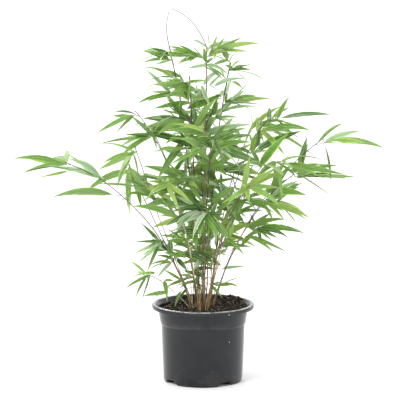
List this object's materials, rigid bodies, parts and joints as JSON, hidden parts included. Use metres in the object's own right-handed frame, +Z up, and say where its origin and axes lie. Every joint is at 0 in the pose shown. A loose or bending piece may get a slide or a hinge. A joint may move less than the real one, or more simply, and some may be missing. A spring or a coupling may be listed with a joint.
{
  "type": "potted bamboo",
  "caption": "Clump-forming bamboo with thin arching culms and open sprays of narrow green leaves, in a round black plastic nursery pot.",
  "frame": {"origin": "centre of the pot's flat underside, on the surface that the pot stands on", "axes": "+Z up, the longest way through the plant, +X to the right seen from the front, across the wider reach of the crown, and +Y away from the front, through its shallower reach"},
  "size_m": [0.6122, 0.3958, 0.6194],
  "materials": {
    "pot_plastic": "satin",
    "potting_soil": "matte",
    "culm": "satin",
    "twig": "satin",
    "leaf": "matte"
  },
  "bodies": {
    "root": {"pot": "pot_plastic", "soil": "potting_soil", "culm_back": "culm", "culm_back_left": "culm", "culm_back_right": "culm", "culm_centre_tall": "culm", "culm_far_left": "culm", "culm_far_right": "culm", "culm_front": "culm", "culm_front_left": "culm", "culm_front_right": "culm", "culm_left_centre": "culm", "culm_left_low_mid": "culm", "culm_left_mid": "culm", "culm_left_top": "culm", "culm_left_upper": "culm", "culm_low_left": "culm", "culm_lower_left": "culm", "culm_right_low": "culm", "culm_right_mid": "culm", "culm_right_top": "culm", "culm_right_upper": "culm", "twig_arch_fall": "twig", "twig_arch_rise": "twig", "leaves_back_1": "leaf", "leaves_back_2": "leaf", "leaves_back_left_1": "leaf", "leaves_back_right_1": "leaf", "leaves_centre_tall_1": "leaf", "leaves_centre_tall_2": "leaf", "leaves_centre_tall_3": "leaf", "leaves_far_left_1": "leaf", "leaves_far_left_2": "leaf", "leaves_far_right_1": "leaf", "leaves_front_1": "leaf", "leaves_front_2": "leaf", "leaves_front_left_1": "leaf", "leaves_front_right_1": "leaf", "leaves_left_centre_1": "leaf", "leaves_left_centre_2": "leaf", "leaves_left_centre_3": "leaf", "leaves_left_low_mid_1": "leaf", "leaves_left_mid_1": "leaf", "leaves_left_mid_2": "leaf", "leaves_left_top_1": "leaf", "leaves_left_upper_1": "leaf", "leaves_left_upper_2": "leaf", "leaves_low_left_1": "leaf", "leaves_lower_left_1": "leaf", "leaves_lower_left_2": "leaf", "leaves_right_low_1": "leaf", "leaves_right_low_2": "leaf", "leaves_right_low_3": "leaf", "leaves_right_mid_1": "leaf", "leaves_right_mid_2": "leaf", "leaves_right_top_1": "leaf", "leaves_right_top_2": "leaf", "leaves_right_top_3": "leaf", "leaves_right_upper_1": "leaf", "leaves_right_upper_2": "leaf"}
  },
  "joints": []
}
